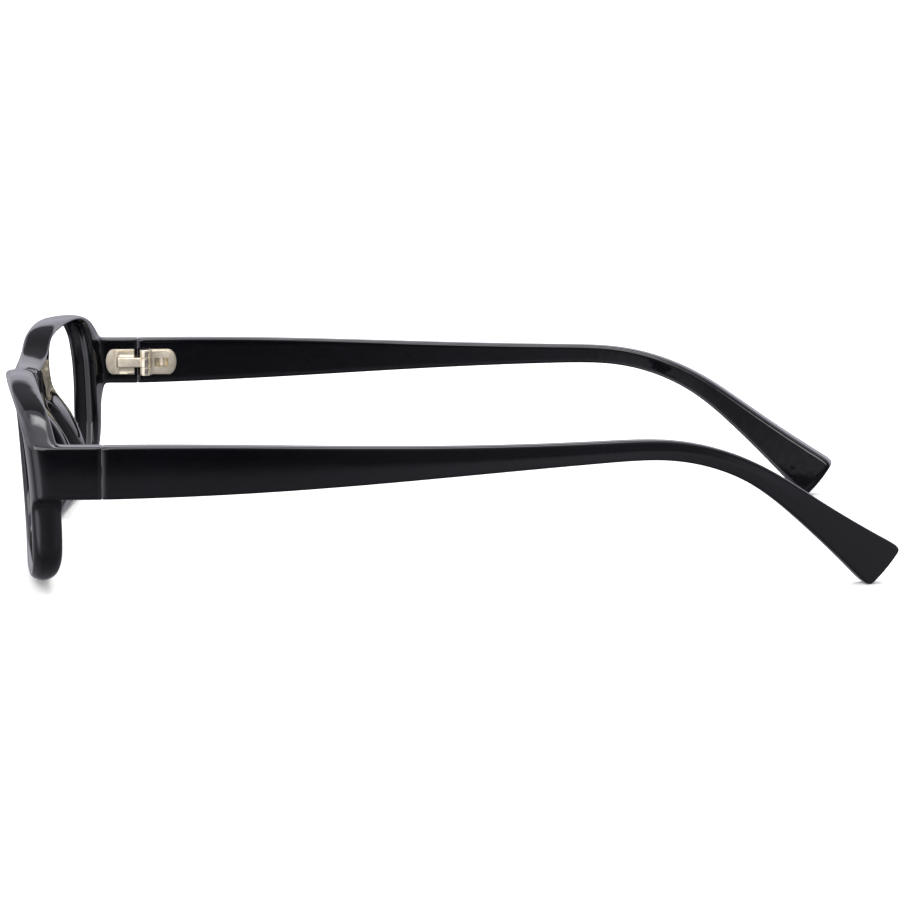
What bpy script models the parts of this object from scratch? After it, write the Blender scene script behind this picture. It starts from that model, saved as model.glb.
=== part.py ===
"""Full-rim plastic eyeglasses frame: one moulded front, two folding temples and two three-barrel hinges.

Metres, +Z up. The frame stands on z = 0 on its rim bottoms and temple tips. The front faces -Y, the temples run
towards +Y, and +X is the wearer's left. x = 0 is the plane of symmetry.
"""

import math

import bmesh
import bpy
from mathutils import Vector

MM = 0.001
SIDES = {"left": 1, "right": -1}

# Overall layout, in millimetres like every other size here. y is measured from the joint plane, where the temples
# butt against the front. ORIGIN_Y then shifts everything so that the origin is under the middle of the frame.
ORIGIN_Y = -60.76
HALF_WIDTH = 68.0
JOINT_GAP = 0.2
SUBDIVISION_LEVELS = 1

# The front: its face is wrapped round the head and tilted, and the bridge stands a little proud of it.
FACE_Y = -18.59
FACE_LEVEL_Z = 20.0
WRAP_RADIUS = 333.8
FACE_TILT = 0.074
BROW_LEAN = 1.13
BROW_HEIGHT = 17.0
LEAN_EASE = 0.11
BRIDGE_ARCH = 0.25
BRIDGE_ARCH_WIDTH = 9.0
RIM_DEPTH = 5.25
BOTTOM_THINNING = 1.4
BOTTOM_ROUNDING = 0.6
BOTTOM_HEIGHT = 8.0
RIM_EDGE = 0.6
OUTER_EDGE = 0.9
EDGE_SHARE = 0.42
FOOT_TRIM = 0.13
GROOVE_DEPTH = 0.9
GROOVE_HALF_WIDTH = 0.8
REAR_SHARES = (0.66, 0.33)
RIM_POINTS = 13

# The lens opening, a superellipse that is wider at the top.
LENS_CENTRE = (37.0, 19.5)
LENS_HALF_SIZE = (22.4, 16.1)
LENS_POWER = 3.95
LENS_TAPER = 0.106

# The end piece (the lug that carries the hinge) and the temple's butt end have one cross-section.
LUG_TOP = 29.4
LUG_BOTTOM = 20.15
LUG_THICKNESS = 4.0
LUG_EDGE = 1.0
LUG_SIDE_EDGE = 1.1
LUG_CROWN = 0.12
LUG_FILLET = 1.3

# Stations round one rim: angle on the lens opening in degrees, then the outer outline's x and z.
# They run from under the lug, over the brow, down the nose and back along the bottom.
LUG_STATIONS = [
    (0, HALF_WIDTH, LUG_BOTTOM),
    (4, HALF_WIDTH, LUG_BOTTOM + LUG_EDGE),
    (10, HALF_WIDTH, (LUG_TOP + LUG_BOTTOM) / 2),
    (22, HALF_WIDTH, LUG_TOP - LUG_EDGE),
    (27, HALF_WIDTH, LUG_TOP),
]
BROW_STATIONS = [
    (32, 66.0, 30.9),
    (43, 63.0, 33.9),
    (56, 56.8, 35.7),
    (72, 47.3, 36.5),
    (90, 36.0, 37.6),
    (107, 25.2, 36.9),
    (119, 19.5, 35.7),
    (131, 13.5, 34.2),
]
BRIDGE_STATIONS = [
    (145, 0.0, 33.3),
    (157, 0.0, 30.8),
    (169, 0.0, 27.4),
]
BRIDGE_MIDDLE_Z = 29.0
NOSE_STATIONS = [
    (178, 6.8, 23.7),
    (190, 7.7, 16.8),
    (204, 10.4, 9.5),
    (219, 13.6, 3.6),
]
BOTTOM_STATIONS = [
    (236, 19.4, 0.6),
    (253, 26.0, -0.1),
    (270, 35.0, 0.0),
    (288, 46.0, 1.3),
    (306, 54.2, 3.6),
    (322, 59.4, 7.6),
    (337, 62.2, 13.0),
    (348, 63.1, 17.5),
    (356, 64.8, 19.6),
]

# Nose pads, moulded on the back of the rims: each swells backwards round this height.
PAD_REACH = 6.7
PAD_CENTRE = (11.0, 16.5)
PAD_HALF_SPAN = 9.4
PAD_WIDTH = 7.1

# Temples: a straight arm that tapers, bends down behind the ear and flares into a paddle tip.
TEMPLE_LENGTH = 147.0
TEMPLE_RISE = 0.0253
TEMPLE_SAG = 0.25
TEMPLE_TAPER_POWER = 1.15
BEND_START = 93.8
BEND_RADIUS = 40.8
BEND_ANGLE = math.radians(39.7)
TEMPLE_THICKNESS = 4.0
TEMPLE_MID_THICKNESS = 3.0
NECK_AT = 103.8
NECK_HALF_HEIGHT = 1.76
TIP_HALF_HEIGHT = 4.75
TIP_FLARE_POWER = 2.34
TIP_INWARD = 22.5
INWARD_START = 24.1
INWARD_POWER = 1.77
TIP_BOW = 0.34
TIP_CORNER = 0.9
TIP_END_LENGTH = 1.0
TEMPLE_STATIONS = [0, 10, 25, 42, 58, 72, 85, 93, 99, 105, 111, 117, 123, 130, 137, 142.5, 146, TEMPLE_LENGTH]

# Core wire in each temple.
WIRE_RADIUS = 0.6
WIRE_BORE_RADIUS = 0.75
WIRE_BORE_ROOM = 1.0
WIRE_START = 3.0
WIRE_END = 118.0
WIRE_STEPS = 22
WIRE_SIDES = 10

# Hinges. x is measured inboard from the lug's inner face, y from the joint plane, and z from the hinge's middle.
HINGE_Z = 24.7
HINGE_HEIGHT = 5.2
PIN_Y = 1.7
PIN_INBOARD = 1.4
BARREL_RADIUS = 1.1
CENTRE_BARREL_HEIGHT = 1.9
BARREL_GAP = 0.05
BORE_RADIUS = 0.67
SCREW_RADIUS = 0.6
SCREW_HEAD_RADIUS = 0.85
SCREW_HEAD_HEIGHT = 0.5
LEAF_NOSE_DEPTH = 1.6
LEAF_SET_IN = 0.6
LEAF_PROUD = 0.45
LEAF_SEAT_GAP = 0.15
BLOCK_PROUD = 1.0
ARM_PROUD = 1.75
WINDOW_LENGTH = 2.9
WINDOW_HEIGHT = 1.8
ROUND_STEPS = 24

BLACK_PLASTIC = ("black_plastic", (0.006, 0.006, 0.009, 1.0), 0.08, 0.0)
NICKEL_SILVER = ("nickel_silver", (0.72, 0.67, 0.56, 1.0), 0.28, 1.0)
STEEL = ("steel", (0.60, 0.60, 0.58, 1.0), 0.30, 1.0)


# ---------------------------------------------------------------- scene helpers


def clear_scene():
    for obj in list(bpy.data.objects):
        bpy.data.objects.remove(obj)


def material(name, colour, roughness, metallic):
    found = bpy.data.materials.get(name)
    if found:
        return found
    made = bpy.data.materials.new(name)
    made.use_nodes = True
    shader = made.node_tree.nodes["Principled BSDF"]
    shader.inputs["Base Color"].default_value = colour
    shader.inputs["Roughness"].default_value = roughness
    shader.inputs["Metallic"].default_value = metallic
    made.diffuse_color = colour
    return made


def world(x, y, z):
    """A point given in the frame's own millimetres, in scene metres."""
    return Vector((x * MM, (y + ORIGIN_Y) * MM, (z - FOOT_TRIM) * MM))


def add_object(name, mesh_data, finish, pivot=None):
    """Turns a bmesh into an object. With a pivot empty, the object's origin is put on it."""
    bmesh.ops.recalc_face_normals(mesh_data, faces=mesh_data.faces)
    origin = pivot.location.copy() if pivot else Vector()
    bmesh.ops.translate(mesh_data, verts=mesh_data.verts, vec=-origin)
    mesh = bpy.data.meshes.new(name)
    mesh_data.to_mesh(mesh)
    mesh_data.free()
    mesh.shade_smooth()
    mesh.set_sharp_from_angle(angle=math.radians(35))
    obj = bpy.data.objects.new(name, mesh)
    bpy.context.scene.collection.objects.link(obj)
    obj.data.materials.append(material(*finish))
    obj.parent = pivot
    return obj


def add_cutter(name, mesh_data):
    cutter = add_object(name, mesh_data, BLACK_PLASTIC)
    cutter.hide_render = True
    cutter.display_type = "WIRE"
    return cutter


def add_pivot(name, location):
    pivot = bpy.data.objects.new(name, None)
    pivot.location = location
    pivot.empty_display_size = 5 * MM
    bpy.context.scene.collection.objects.link(pivot)
    return pivot


def boolean(obj, operation, other):
    modifier = obj.modifiers.new(operation.lower() + "_" + other.name, "BOOLEAN")
    modifier.operation = operation
    modifier.solver = "EXACT"
    modifier.object = other


def subdivide(obj):
    modifier = obj.modifiers.new("subdivision", "SUBSURF")
    modifier.levels = SUBDIVISION_LEVELS
    modifier.render_levels = SUBDIVISION_LEVELS


# ---------------------------------------------------------------- front


def face_y(x, z):
    """The front face's y at a point of the front view."""
    wrap = x * x / (2 * WRAP_RADIUS)
    arch = BRIDGE_ARCH * math.exp(-((x / BRIDGE_ARCH_WIDTH) ** 2))
    rise = z - FACE_LEVEL_Z
    lean = FACE_TILT * rise + BROW_LEAN * (max(0.0, rise) / BROW_HEIGHT) ** 2
    towards_nose = 1 - LEAN_EASE * min(1.0, x / HALF_WIDTH)
    return FACE_Y + wrap - arch - lean * towards_nose


def lens_edge(degrees):
    """A point (x, z) of the lens opening."""
    angle = math.radians(degrees)
    across = math.copysign(abs(math.cos(angle)) ** (2 / LENS_POWER), math.cos(angle))
    up = math.copysign(abs(math.sin(angle)) ** (2 / LENS_POWER), math.sin(angle))
    width = LENS_HALF_SIZE[0] * (1 + LENS_TAPER * up)
    return Vector((LENS_CENTRE[0] + width * across, LENS_CENTRE[1] + LENS_HALF_SIZE[1] * up))


def turned(vector):
    """A front-view direction turned by a quarter, which faces into the material from the outer outline."""
    return Vector((-vector.y, vector.x)).normalized()


def pad_swell(x, z):
    """How far the nose pad stands behind the rim's back at a point of the front view."""
    across = math.exp(-(((x - PAD_CENTRE[0]) / PAD_WIDTH) ** 2))
    up = max(0.0, 1 - ((z - PAD_CENTRE[1]) / PAD_HALF_SPAN) ** 2)
    return PAD_REACH * across * up * up * (3 - 2 * up)


def crowned(z):
    """How far a slightly domed outer face falls away at a height of the end piece."""
    middle = (LUG_TOP + LUG_BOTTOM) / 2
    return LUG_CROWN * min(1.0, abs(z - middle) / (LUG_TOP - middle - LUG_EDGE))


def lowness(z):
    """0 above the rim's bottom part, 1 at its lowest: there the rim is thinner and rounder."""
    return max(0.0, 1 - max(0.0, z) / BOTTOM_HEIGHT)


def rim_section(index, stations):
    """The 13 points of the rim's cross-section at a station, from the lens opening's front lip and round the rim."""
    degrees, outer_x, outer_z = stations[index]
    before = stations[index - 1]
    after = stations[(index + 1) % len(stations)]
    lens = lens_edge(degrees)
    from_lens = turned(lens_edge(degrees - 3) - lens_edge(degrees + 3))
    outer = Vector((outer_x, outer_z))
    inward = turned(Vector(after[1:]) - Vector(before[1:]))
    if outer_x == 0:
        inward = Vector((0, -1)) if outer_z > BRIDGE_MIDDLE_Z else Vector((0, 1))
    wall = (lens - outer).dot(inward)
    lip = lens + from_lens * min(RIM_EDGE, EDGE_SHARE * wall)
    if outer_x == HALF_WIDTH:
        inward = Vector((-1, 0))
        lip = lens + from_lens * RIM_EDGE
        outer_edge = LUG_SIDE_EDGE
        shoulder = outer + inward * LUG_SIDE_EDGE
        outer = outer + inward * crowned(outer.y)
        rear_a = shoulder + inward * (LUG_THICKNESS - LUG_SIDE_EDGE)
        rear_b = shoulder + inward * (LUG_THICKNESS - 2 * LUG_SIDE_EDGE)
    else:
        outer_edge = OUTER_EDGE + BOTTOM_ROUNDING * lowness(outer_z)
        shoulder = outer + inward * min(OUTER_EDGE, EDGE_SHARE * wall)
        rear_a, rear_b = (shoulder.lerp(lip, share) for share in REAR_SHARES)
    depth_here = RIM_DEPTH - BOTTOM_THINNING * lowness(outer_z)
    middle = depth_here / 2
    flat = [
        (lens, RIM_EDGE),
        (lip, 0),
        (shoulder, 0),
        (outer, outer_edge),
        (outer, depth_here - outer_edge),
        (shoulder, depth_here),
        (rear_b, depth_here),
        (rear_a, depth_here),
        (lip, depth_here),
        (lens, depth_here - RIM_EDGE),
        (lens, middle + GROOVE_HALF_WIDTH),
        (lens + from_lens * GROOVE_DEPTH, middle),
        (lens, middle - GROOVE_HALF_WIDTH),
    ]
    points = []
    for place, depth in flat:
        behind = pad_swell(place.x, place.y) if depth > middle + GROOVE_HALF_WIDTH else 0
        points.append(world(place.x, face_y(place.x, place.y) + depth + behind, place.y))
    return points


def extruded(cage, faces):
    """Extrudes a patch of faces in place and returns the new faces; the old ones are removed."""
    grown = bmesh.ops.extrude_face_region(cage, geom=faces)["geom"]
    bmesh.ops.delete(cage, geom=faces, context="FACES_KEEP_BOUNDARY")
    return [item for item in grown if isinstance(item, bmesh.types.BMFace)]


def front_cage():
    """The control cage of the front's +X half."""
    stations = LUG_STATIONS + BROW_STATIONS + BRIDGE_STATIONS + NOSE_STATIONS + BOTTOM_STATIONS
    cage = bmesh.new()
    crease = cage.edges.layers.float.new("crease_edge")
    rings = [[cage.verts.new(p) for p in rim_section(i, stations)] for i in range(len(stations))]
    outer_wall = (2, 3, 4)
    lug_back = (4, 5, 6)
    to_extrude = []
    for i, station in enumerate(stations):
        j = (i + 1) % len(stations)
        across_bridge = station[1] == 0 and stations[j][1] == 0
        along_lug = station[1] == HALF_WIDTH and stations[j][1] == HALF_WIDTH
        for k in range(RIM_POINTS):
            if across_bridge and k in outer_wall:
                continue
            n = (k + 1) % RIM_POINTS
            face = cage.faces.new((rings[i][k], rings[i][n], rings[j][n], rings[j][k]))
            if along_lug and k in lug_back:
                to_extrude.append(face)
    neck_faces = extruded(cage, to_extrude)
    for vert in {vert for face in neck_faces for vert in face.verts}:
        vert.co.y += LUG_FILLET * MM
    butt_faces = extruded(cage, neck_faces)
    butt_y = (ORIGIN_Y - JOINT_GAP / 2) * MM
    for vert in {vert for face in butt_faces for vert in face.verts}:
        vert.co.y = butt_y
    for face in butt_faces:
        for edge in face.edges:
            if any(other not in butt_faces for other in edge.link_faces):
                edge[crease] = 1.0
    loose = [vert for vert in cage.verts if not vert.link_faces]
    bmesh.ops.delete(cage, geom=loose, context="VERTS")
    return cage


def foot_trim():
    """A block below z = 0, which leaves a small flat land under each rim for the frame to stand on."""
    block = bmesh.new()
    bmesh.ops.create_cube(block, size=4 * HALF_WIDTH * MM)
    bmesh.ops.translate(block, verts=block.verts, vec=(0, 0, -2 * HALF_WIDTH * MM))
    return block


def build_front(seats):
    front = add_object("front_frame", front_cage(), BLACK_PLASTIC)
    mirror = front.modifiers.new("mirror", "MIRROR")
    mirror.use_axis = (True, False, False)
    mirror.merge_threshold = 0.00001
    mirror.use_clip = True
    subdivide(front)
    boolean(front, "DIFFERENCE", add_cutter("foot_trim_cutter", foot_trim()))
    for seat in seats:
        boolean(front, "DIFFERENCE", seat)
    return front


# ---------------------------------------------------------------- temples


def temple_centre(s):
    """The temple's middle line at arc length s: (y, z, direction angle in the side view)."""
    start_z = (LUG_TOP + LUG_BOTTOM) / 2
    rise = math.atan(TEMPLE_RISE)
    straight = min(s, BEND_START)
    y = straight * math.cos(rise)
    z = start_z + straight * math.sin(rise) - TEMPLE_SAG * math.sin(math.pi * straight / BEND_START)
    if s <= BEND_START:
        return y, z, rise
    turned_by = min((s - BEND_START) / BEND_RADIUS, BEND_ANGLE)
    y += BEND_RADIUS * (math.sin(turned_by - rise) + math.sin(rise))
    z -= BEND_RADIUS * (math.cos(rise) - math.cos(turned_by - rise))
    left = max(0.0, s - BEND_START - BEND_RADIUS * BEND_ANGLE)
    heading = rise - turned_by
    return y + left * math.cos(heading), z + left * math.sin(heading), heading


def temple_inward(s):
    """How far the temple has curved in towards the head at arc length s."""
    along = max(0.0, s - INWARD_START) / (TEMPLE_LENGTH - INWARD_START)
    return TIP_INWARD * along**INWARD_POWER


def temple_half_height(s):
    if s < NECK_AT:
        blend = ((1 + math.cos(math.pi * s / NECK_AT)) / 2) ** TEMPLE_TAPER_POWER
        return NECK_HALF_HEIGHT + ((LUG_TOP - LUG_BOTTOM) / 2 - NECK_HALF_HEIGHT) * blend
    flare = ((s - NECK_AT) / (TEMPLE_LENGTH - NECK_AT)) ** TIP_FLARE_POWER
    return NECK_HALF_HEIGHT + (TIP_HALF_HEIGHT - NECK_HALF_HEIGHT) * flare


def temple_thickness(s):
    sag = math.sin(math.pi * min(s / TEMPLE_LENGTH, 1.0))
    return TEMPLE_THICKNESS - (TEMPLE_THICKNESS - TEMPLE_MID_THICKNESS) * sag


def temple_point(side, s, inboard, height):
    """A point of the temple: arc length, distance inboard of its outer face, and height above its middle line."""
    y, z, heading = temple_centre(s)
    swing = math.atan(temple_inward(s + 0.5) - temple_inward(s - 0.5))
    ahead = -height * math.sin(heading) - inboard * math.sin(swing) * math.cos(heading)
    x = HALF_WIDTH - temple_inward(s) - inboard * math.cos(swing)
    return world(side * x, y + ahead, z + height * math.cos(heading))


def end_share(s):
    """0 along the temple, rising to 1 at the very end of its tip."""
    return max(0.0, 1 - (TEMPLE_LENGTH - s) / TIP_END_LENGTH)


def temple_section(s):
    """The section's columns, as distances inboard of the outer face, and its rows, as heights."""
    thick = temple_thickness(s)
    half = temple_half_height(s) - TIP_CORNER * end_share(s)
    edge = min(LUG_EDGE, 0.5 * half)
    columns = [0.0, LUG_SIDE_EDGE, thick - LUG_SIDE_EDGE, thick]
    rows = [-half, -half + edge, 0.0, half - edge, half]
    return columns, rows


def temple_cage(side):
    cage = bmesh.new()
    crease = cage.edges.layers.float.new("crease_edge")
    grids = []
    for s in TEMPLE_STATIONS:
        columns, rows = temple_section(s)
        grid = []
        for row, height in enumerate(rows):
            line = []
            for column, inboard in enumerate(columns):
                at_rim = row in (0, 4) or column in (0, 3)
                on_end_face = s in (0, TEMPLE_LENGTH)
                if not at_rim and not on_end_face:
                    line.append(None)
                    continue
                trim = end_share(s) * TIP_BOW * (height / rows[-1]) ** 2
                crown = LUG_CROWN if column == 0 and row != 2 else 0.0
                point = temple_point(side, s - trim, inboard + crown, height)
                if s == 0:
                    point.y = (ORIGIN_Y + JOINT_GAP / 2) * MM
                line.append(cage.verts.new(point))
            grid.append(line)
        grids.append(grid)
    rim = [(0, c) for c in range(4)] + [(r, 3) for r in range(1, 5)]
    rim += [(4, c) for c in (2, 1, 0)] + [(r, 0) for r in (3, 2, 1)]
    for near, far in zip(grids, grids[1:]):
        for (r0, c0), (r1, c1) in zip(rim, rim[1:] + rim[:1]):
            cage.faces.new((near[r0][c0], near[r1][c1], far[r1][c1], far[r0][c0]))
    for grid in (grids[0], grids[-1]):
        for r in range(4):
            for c in range(3):
                cage.faces.new((grid[r][c], grid[r][c + 1], grid[r + 1][c + 1], grid[r + 1][c]))
    butt = grids[0]
    for (r0, c0), (r1, c1) in zip(rim, rim[1:] + rim[:1]):
        cage.edges.get((butt[r0][c0], butt[r1][c1]))[crease] = 1.0
    return cage


def swept_tube(side, radius, start, end, steps):
    """A closed round tube along the temple's middle line."""
    tube = bmesh.new()
    rings = []
    for i in range(steps + 1):
        s = start + (end - start) * i / steps
        middle = temple_thickness(max(s, 0)) / 2
        ring = []
        for k in range(WIRE_SIDES):
            angle = 2 * math.pi * k / WIRE_SIDES
            ring.append(tube.verts.new(
                temple_point(side, s, middle + radius * math.cos(angle), radius * math.sin(angle))
            ))
        rings.append(ring)
    for near, far in zip(rings, rings[1:]):
        for k in range(WIRE_SIDES):
            n = (k + 1) % WIRE_SIDES
            tube.faces.new((near[k], near[n], far[n], far[k]))
    tube.faces.new(rings[0])
    tube.faces.new(rings[-1])
    return tube


def build_temple(name, side, pivot, seat):
    temple = add_object("temple_" + name, temple_cage(side), BLACK_PLASTIC, pivot)
    subdivide(temple)
    bore = add_cutter(
        "wire_bore_cutter_" + name,
        swept_tube(side, WIRE_BORE_RADIUS, -WIRE_BORE_ROOM, WIRE_END + WIRE_BORE_ROOM, WIRE_STEPS),
    )
    boolean(temple, "DIFFERENCE", seat)
    boolean(temple, "DIFFERENCE", bore)
    wire = swept_tube(side, WIRE_RADIUS, WIRE_START, WIRE_END, WIRE_STEPS)
    add_object("temple_core_wire_" + name, wire, STEEL, pivot)


# ---------------------------------------------------------------- hinges


def hinge_point(side, inboard, y, height):
    return world(side * (HALF_WIDTH - LUG_THICKNESS - inboard), y, HINGE_Z + height)


def slab(side, outline, low, high):
    """A prism whose outline is (y, height) points and which spans low to high inboard of the lug's inner face."""
    solid = bmesh.new()
    lower = [solid.verts.new(hinge_point(side, low, y, height)) for y, height in outline]
    upper = [solid.verts.new(hinge_point(side, high, y, height)) for y, height in outline]
    solid.faces.new(lower)
    solid.faces.new(upper)
    for k in range(len(outline)):
        n = (k + 1) % len(outline)
        solid.faces.new((lower[k], lower[n], upper[n], upper[k]))
    return solid


def barrel(side, radius, low, high, sides=ROUND_STEPS):
    """An upright cylinder on the pin's axis, between two heights."""
    solid = bmesh.new()
    rings = []
    for height in (low, high):
        ring = []
        for k in range(sides):
            angle = 2 * math.pi * (k + 0.5) / sides
            ring.append(solid.verts.new(hinge_point(
                side,
                PIN_INBOARD + radius * math.cos(angle),
                PIN_Y + radius * math.sin(angle),
                height,
            )))
        rings.append(ring)
    solid.faces.new(rings[0])
    solid.faces.new(rings[1])
    for k in range(sides):
        n = (k + 1) % sides
        solid.faces.new((rings[0][k], rings[0][n], rings[1][n], rings[1][k]))
    return solid


def round_nosed(start, end, half_height, steps=8):
    """A plate outline in (y, height) that is square at start and ends in a shallow round nose."""
    reach = LEAF_NOSE_DEPTH if end > start else -LEAF_NOSE_DEPTH
    centre = end - reach
    points = [(start, -half_height)]
    for k in range(steps + 1):
        angle = math.pi * (k / steps - 0.5)
        points.append((centre + reach * math.cos(angle), half_height * math.sin(angle)))
    points.append((start, half_height))
    return points


def rectangle(y0, y1, z0, z1):
    return [(y0, z0), (y1, z0), (y1, z1), (y0, z1)]


HALF_HINGE = HINGE_HEIGHT / 2
FRONT_LEAF_NOSE = -6.5
FRONT_LEAF_BACK = -0.6
BLOCK_START = -4.5
BLOCK_BACK = -0.7
BLOCK_HALF_HEIGHT = 2.3
ARM_START = -4.0
TEMPLE_LEAF_TAIL = 8.0
TEMPLE_LEAF_FRONT = 1.8
WEB_LENGTH = 1.4
WINDOW_START = 3.5
CENTRE_ROOM = 0.2
HEAD_ROOM = 0.07
SLOT_HALF_WIDTH = 0.15
SLOT_DEPTH = 0.25
OVERSHOOT = 1.0


def build_seats(name, side):
    """Cutters for the shallow pockets that both leaves are set into."""
    depth = LEAF_SET_IN + LEAF_SEAT_GAP
    wide = HALF_HINGE + LEAF_SEAT_GAP
    front_outline = round_nosed(OVERSHOOT, FRONT_LEAF_NOSE - LEAF_SEAT_GAP, wide)
    rear_outline = round_nosed(-OVERSHOOT, TEMPLE_LEAF_TAIL + LEAF_SEAT_GAP, wide)
    front = slab(side, front_outline, -depth, OVERSHOOT)
    rear = slab(side, rear_outline, -depth, OVERSHOOT)
    return add_cutter("front_seat_cutter_" + name, front), add_cutter("temple_seat_cutter_" + name, rear)


def build_front_leaf(name, side):
    """The front's half of the hinge: a set-in plate, a raised block and an arm that ends in the centre barrel."""
    plate = slab(side, round_nosed(FRONT_LEAF_BACK, FRONT_LEAF_NOSE, HALF_HINGE), -LEAF_SET_IN, LEAF_PROUD)
    leaf = add_object("hinge_front_leaf_" + name, plate, NICKEL_SILVER)
    half_centre = CENTRE_BARREL_HEIGHT / 2
    block_outline = rectangle(BLOCK_START, BLOCK_BACK, -BLOCK_HALF_HEIGHT, BLOCK_HALF_HEIGHT)
    block = slab(side, block_outline, -LEAF_SET_IN / 2, BLOCK_PROUD)
    arm = slab(side, rectangle(ARM_START, PIN_Y, -half_centre, half_centre), LEAF_PROUD / 2, ARM_PROUD)
    centre = barrel(side, BARREL_RADIUS, -half_centre, half_centre)
    bore = barrel(side, BORE_RADIUS, -HALF_HINGE, HALF_HINGE)
    for label, solid in (("block", block), ("arm", arm), ("centre_barrel", centre)):
        boolean(leaf, "UNION", add_cutter(label + "_" + name, solid))
    boolean(leaf, "DIFFERENCE", add_cutter("front_bore_" + name, bore))


def build_temple_leaf(name, side, pivot):
    """The temple's half of the hinge: a set-in plate with a window, and the two outer barrels."""
    outline = round_nosed(TEMPLE_LEAF_FRONT, TEMPLE_LEAF_TAIL, HALF_HINGE)
    plate = slab(side, outline, -LEAF_SET_IN, BLOCK_PROUD)
    leaf = add_object("hinge_temple_leaf_" + name, plate, NICKEL_SILVER, pivot)
    inner = CENTRE_BARREL_HEIGHT / 2 + BARREL_GAP
    for label, low, high in (("lower", -HALF_HINGE, -inner), ("upper", inner, HALF_HINGE)):
        boolean(leaf, "UNION", add_cutter(label + "_barrel_" + name, barrel(side, BARREL_RADIUS, low, high)))
        web_outline = rectangle(PIN_Y, PIN_Y + WEB_LENGTH, low, high)
        web = slab(side, web_outline, PIN_INBOARD - BARREL_RADIUS, ARM_PROUD)
        boolean(leaf, "UNION", add_cutter(label + "_web_" + name, web))
    half = WINDOW_HEIGHT / 2
    window_outline = rectangle(WINDOW_START, WINDOW_START + WINDOW_LENGTH, -half, half)
    window = slab(side, window_outline, 0.0, BLOCK_PROUD + OVERSHOOT)
    boolean(leaf, "DIFFERENCE", add_cutter("window_" + name, window))
    room = barrel(side, BARREL_RADIUS + CENTRE_ROOM, -inner, inner)
    boolean(leaf, "DIFFERENCE", add_cutter("centre_room_" + name, room))
    bore = barrel(side, BORE_RADIUS, -HALF_HINGE - OVERSHOOT, HALF_HINGE + OVERSHOOT)
    boolean(leaf, "DIFFERENCE", add_cutter("temple_bore_" + name, bore))
    head_seat = HALF_HINGE - SCREW_HEAD_HEIGHT
    head_room = barrel(side, SCREW_HEAD_RADIUS + HEAD_ROOM, head_seat, HALF_HINGE + OVERSHOOT)
    boolean(leaf, "DIFFERENCE", add_cutter("head_room_" + name, head_room))


def build_screw(name, side, pivot):
    shank = barrel(side, SCREW_RADIUS, -HALF_HINGE + 0.1, HALF_HINGE - 0.2)
    screw = add_object("hinge_screw_" + name, shank, STEEL, pivot)
    base = HALF_HINGE - SCREW_HEAD_HEIGHT + 0.1
    head = barrel(side, SCREW_HEAD_RADIUS, base, base + SCREW_HEAD_HEIGHT)
    boolean(screw, "UNION", add_cutter("screw_head_" + name, head))
    top = base + SCREW_HEAD_HEIGHT
    slot_outline = rectangle(PIN_Y - OVERSHOOT, PIN_Y + OVERSHOOT, top - SLOT_DEPTH, top + OVERSHOOT)
    slot = slab(side, slot_outline, PIN_INBOARD - SLOT_HALF_WIDTH, PIN_INBOARD + SLOT_HALF_WIDTH)
    boolean(screw, "DIFFERENCE", add_cutter("screw_slot_" + name, slot))


def main():
    clear_scene()
    front_seats = []
    for name, side in SIDES.items():
        front_seat, temple_seat = build_seats(name, side)
        front_seats.append(front_seat)
        pivot = add_pivot("hinge_axis_" + name, hinge_point(side, PIN_INBOARD, PIN_Y, 0))
        build_temple(name, side, pivot, temple_seat)
        build_front_leaf(name, side)
        build_temple_leaf(name, side, pivot)
        build_screw(name, side, pivot)
    build_front(front_seats)


main()
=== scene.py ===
"""The eyeglasses frame's looks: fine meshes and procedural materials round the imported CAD, and a studio."""

import math

import bmesh
import bpy
from mathutils import Matrix, Vector

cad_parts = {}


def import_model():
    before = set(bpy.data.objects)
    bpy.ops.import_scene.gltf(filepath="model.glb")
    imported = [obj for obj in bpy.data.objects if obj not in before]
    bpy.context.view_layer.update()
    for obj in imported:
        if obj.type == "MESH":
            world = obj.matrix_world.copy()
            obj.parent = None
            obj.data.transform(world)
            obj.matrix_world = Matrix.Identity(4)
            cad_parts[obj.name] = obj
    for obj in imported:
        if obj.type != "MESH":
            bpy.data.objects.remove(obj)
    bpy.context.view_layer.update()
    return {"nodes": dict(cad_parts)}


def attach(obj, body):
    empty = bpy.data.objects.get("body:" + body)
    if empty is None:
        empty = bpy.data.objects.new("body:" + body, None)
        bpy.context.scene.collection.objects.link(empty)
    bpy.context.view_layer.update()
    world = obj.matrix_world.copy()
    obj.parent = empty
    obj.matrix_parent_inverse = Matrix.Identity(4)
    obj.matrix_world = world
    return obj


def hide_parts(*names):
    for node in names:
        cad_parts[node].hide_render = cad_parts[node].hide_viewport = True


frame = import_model()

MM = 0.001
SIDES = {"left": 1, "right": -1}

# Overall layout, in millimetres like every other size here. y is measured from the joint plane, where the
# temples butt against the front. ORIGIN_Y then shifts everything so that the origin is under the frame's middle.
ORIGIN_Y = -60.76
HALF_WIDTH = 68.0
JOINT_GAP = 0.06
BUTT_CREASE = 0.9

# The front: its face is wrapped round the head and tilted, and the bridge stands a little proud of it.
FACE_Y = -18.59
FACE_LEVEL_Z = 20.0
WRAP_RADIUS = 333.8
FACE_TILT = 0.074
BROW_LEAN = 1.13
BROW_HEIGHT = 17.0
LEAN_EASE = 0.11
BRIDGE_ARCH = 0.25
BRIDGE_ARCH_WIDTH = 9.0
RIM_DEPTH = 5.25
BOTTOM_THINNING = 1.4
BOTTOM_ROUNDING = 0.6
BOTTOM_HEIGHT = 8.0
RIM_EDGE = 0.6
OUTER_EDGE = 0.9
EDGE_SHARE = 0.42
FOOT_TRIM = 0.13
GROOVE_DEPTH = 0.9
GROOVE_HALF_WIDTH = 0.8
REAR_SHARES = (0.66, 0.33)
RIM_POINTS = 13

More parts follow.
